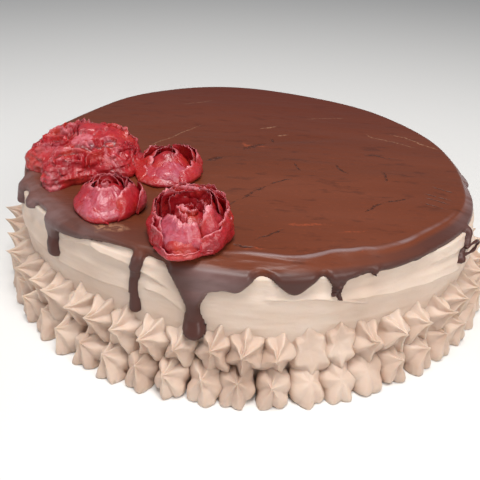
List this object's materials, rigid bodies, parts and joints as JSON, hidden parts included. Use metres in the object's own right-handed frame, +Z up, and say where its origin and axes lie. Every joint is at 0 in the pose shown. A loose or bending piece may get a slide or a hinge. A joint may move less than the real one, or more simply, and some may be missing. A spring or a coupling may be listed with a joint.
{
  "type": "walnut cake",
  "caption": "Round layer cake under buttercream, with a poured chocolate glaze that drips down the side, two piped star borders and red roses on top.",
  "frame": {"origin": "centre of the round base, on the plane that the cake rests on", "axes": "+Z up, -Y the front with the longest drip and the open rose, +X to the right seen from the front"},
  "size_m": [0.279, 0.2796, 0.0858],
  "materials": {
    "buttercream": "smooth pale coffee buttercream, satin",
    "chocolate_glaze": "dark chocolate glaze, satin with soft shine on the drips",
    "red_paste": "moist red petal paste, glossy"
  },
  "bodies": {
    "root": {"cake_body": "buttercream", "upper_star_border": "buttercream", "lower_star_border": "buttercream", "chocolate_glaze": "chocolate_glaze", "rose_left": "red_paste", "rose_front_bud": "red_paste", "rose_back_bud": "red_paste", "rose_open": "red_paste"}
  },
  "joints": []
}
